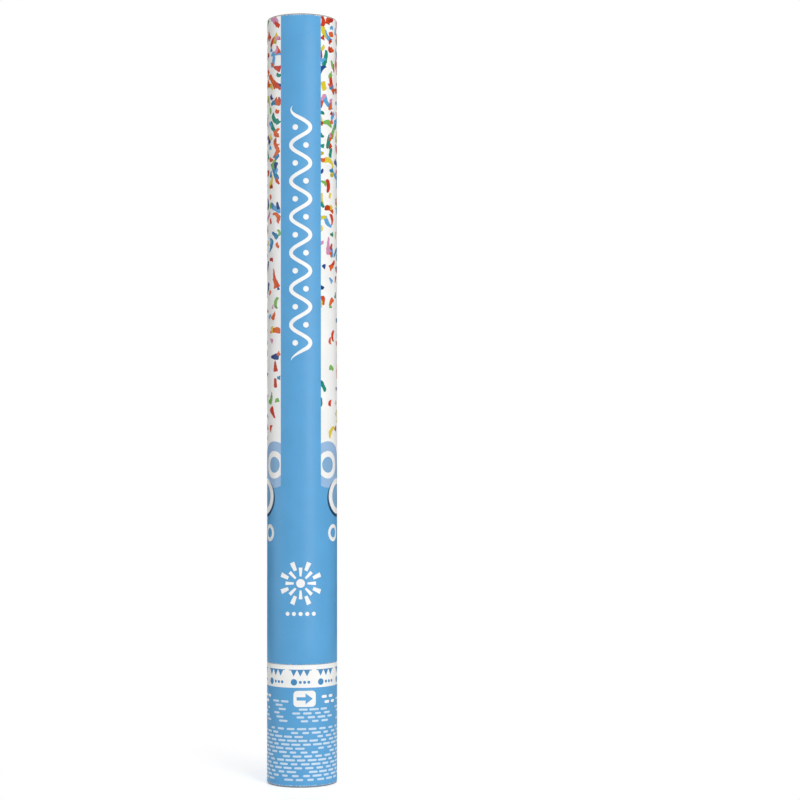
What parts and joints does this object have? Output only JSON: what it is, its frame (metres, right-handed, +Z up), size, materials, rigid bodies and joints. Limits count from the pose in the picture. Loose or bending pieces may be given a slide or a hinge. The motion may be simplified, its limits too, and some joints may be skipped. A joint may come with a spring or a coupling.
{
  "type": "confetti popper",
  "caption": "Tall card tube that fires confetti by air: a printed barrel with a push-in lid above a shorter twist grip, which holds an air can and a helical-slot release valve.",
  "frame": {"origin": "centre of the base cap's underside, on the surface that the popper stands on", "axes": "+Z up along the tube's axis to the muzzle; -Y is the front, with the blue stripe"},
  "size_m": [0.055, 0.055, 0.6],
  "materials": {
    "printed_paper": "satin",
    "wound_chipboard": "matte",
    "waxed_board": "matte",
    "pressed_board": "matte",
    "grey_plastic": "satin",
    "white_plastic": "satin",
    "black_plastic": "satin",
    "can_aluminium": "satin",
    "spring_steel": "satin",
    "black_rubber": "matte",
    "white_foam": "matte",
    "lid_foil": "polished",
    "tissue_red": "matte",
    "tissue_blue": "matte",
    "tissue_yellow": "matte",
    "tissue_green": "matte",
    "tissue_pink": "matte",
    "tissue_violet": "matte"
  },
  "bodies": {
    "barrel": {"barrel_tube": "wound_chipboard", "barrel_wrap": "printed_paper", "bulkhead": "white_plastic"},
    "grip": {"grip_tube": "wound_chipboard", "grip_wrap": "printed_paper", "base_cap": "grey_plastic", "liner_sleeve": "waxed_board", "can_bands": "waxed_board", "air_can": "can_aluminium", "fill_bung": "black_rubber", "neck_gasket": "black_rubber", "crimp_ferrule": "can_aluminium", "valve_tower": "black_plastic", "retaining_clip": "spring_steel"},
    "plug": {"release_plug": "white_plastic", "plug_seals": "black_rubber", "cross_pin": "spring_steel"},
    "load": {"wad_board": "pressed_board", "wad_foam": "white_foam", "confetti_red": "tissue_red", "confetti_blue": "tissue_blue", "confetti_yellow": "tissue_yellow", "confetti_green": "tissue_green", "confetti_pink": "tissue_pink", "confetti_violet": "tissue_violet"},
    "lid": {"muzzle_lid": "pressed_board", "lid_foil": "lid_foil"}
  },
  "joints": [
    {"name": "grip_twist", "type": "hinge", "parent": "barrel", "child": "grip", "pos_m": [0, 0, 0], "axis": [0, 0, 1], "range_deg": [0, 90]},
    {"name": "plug_lift", "type": "slide", "parent": "barrel", "child": "plug", "axis": [0, 0, 1], "range_m": [0, 0.008]},
    {"name": "load_slide", "type": "slide", "parent": "barrel", "child": "load", "axis": [0, 0, 1], "range_m": [0, 0.49]},
    {"name": "lid_pop", "type": "slide", "parent": "barrel", "child": "lid", "axis": [0, 0, 1], "range_m": [0, 0.49]}
  ],
  "couplings": [
    {"joint": "plug_lift", "follows": "grip_twist", "m_per_rad": 0.005092},
    {"joint": "lid_pop", "follows": "load_slide", "ratio": 1}
  ]
}
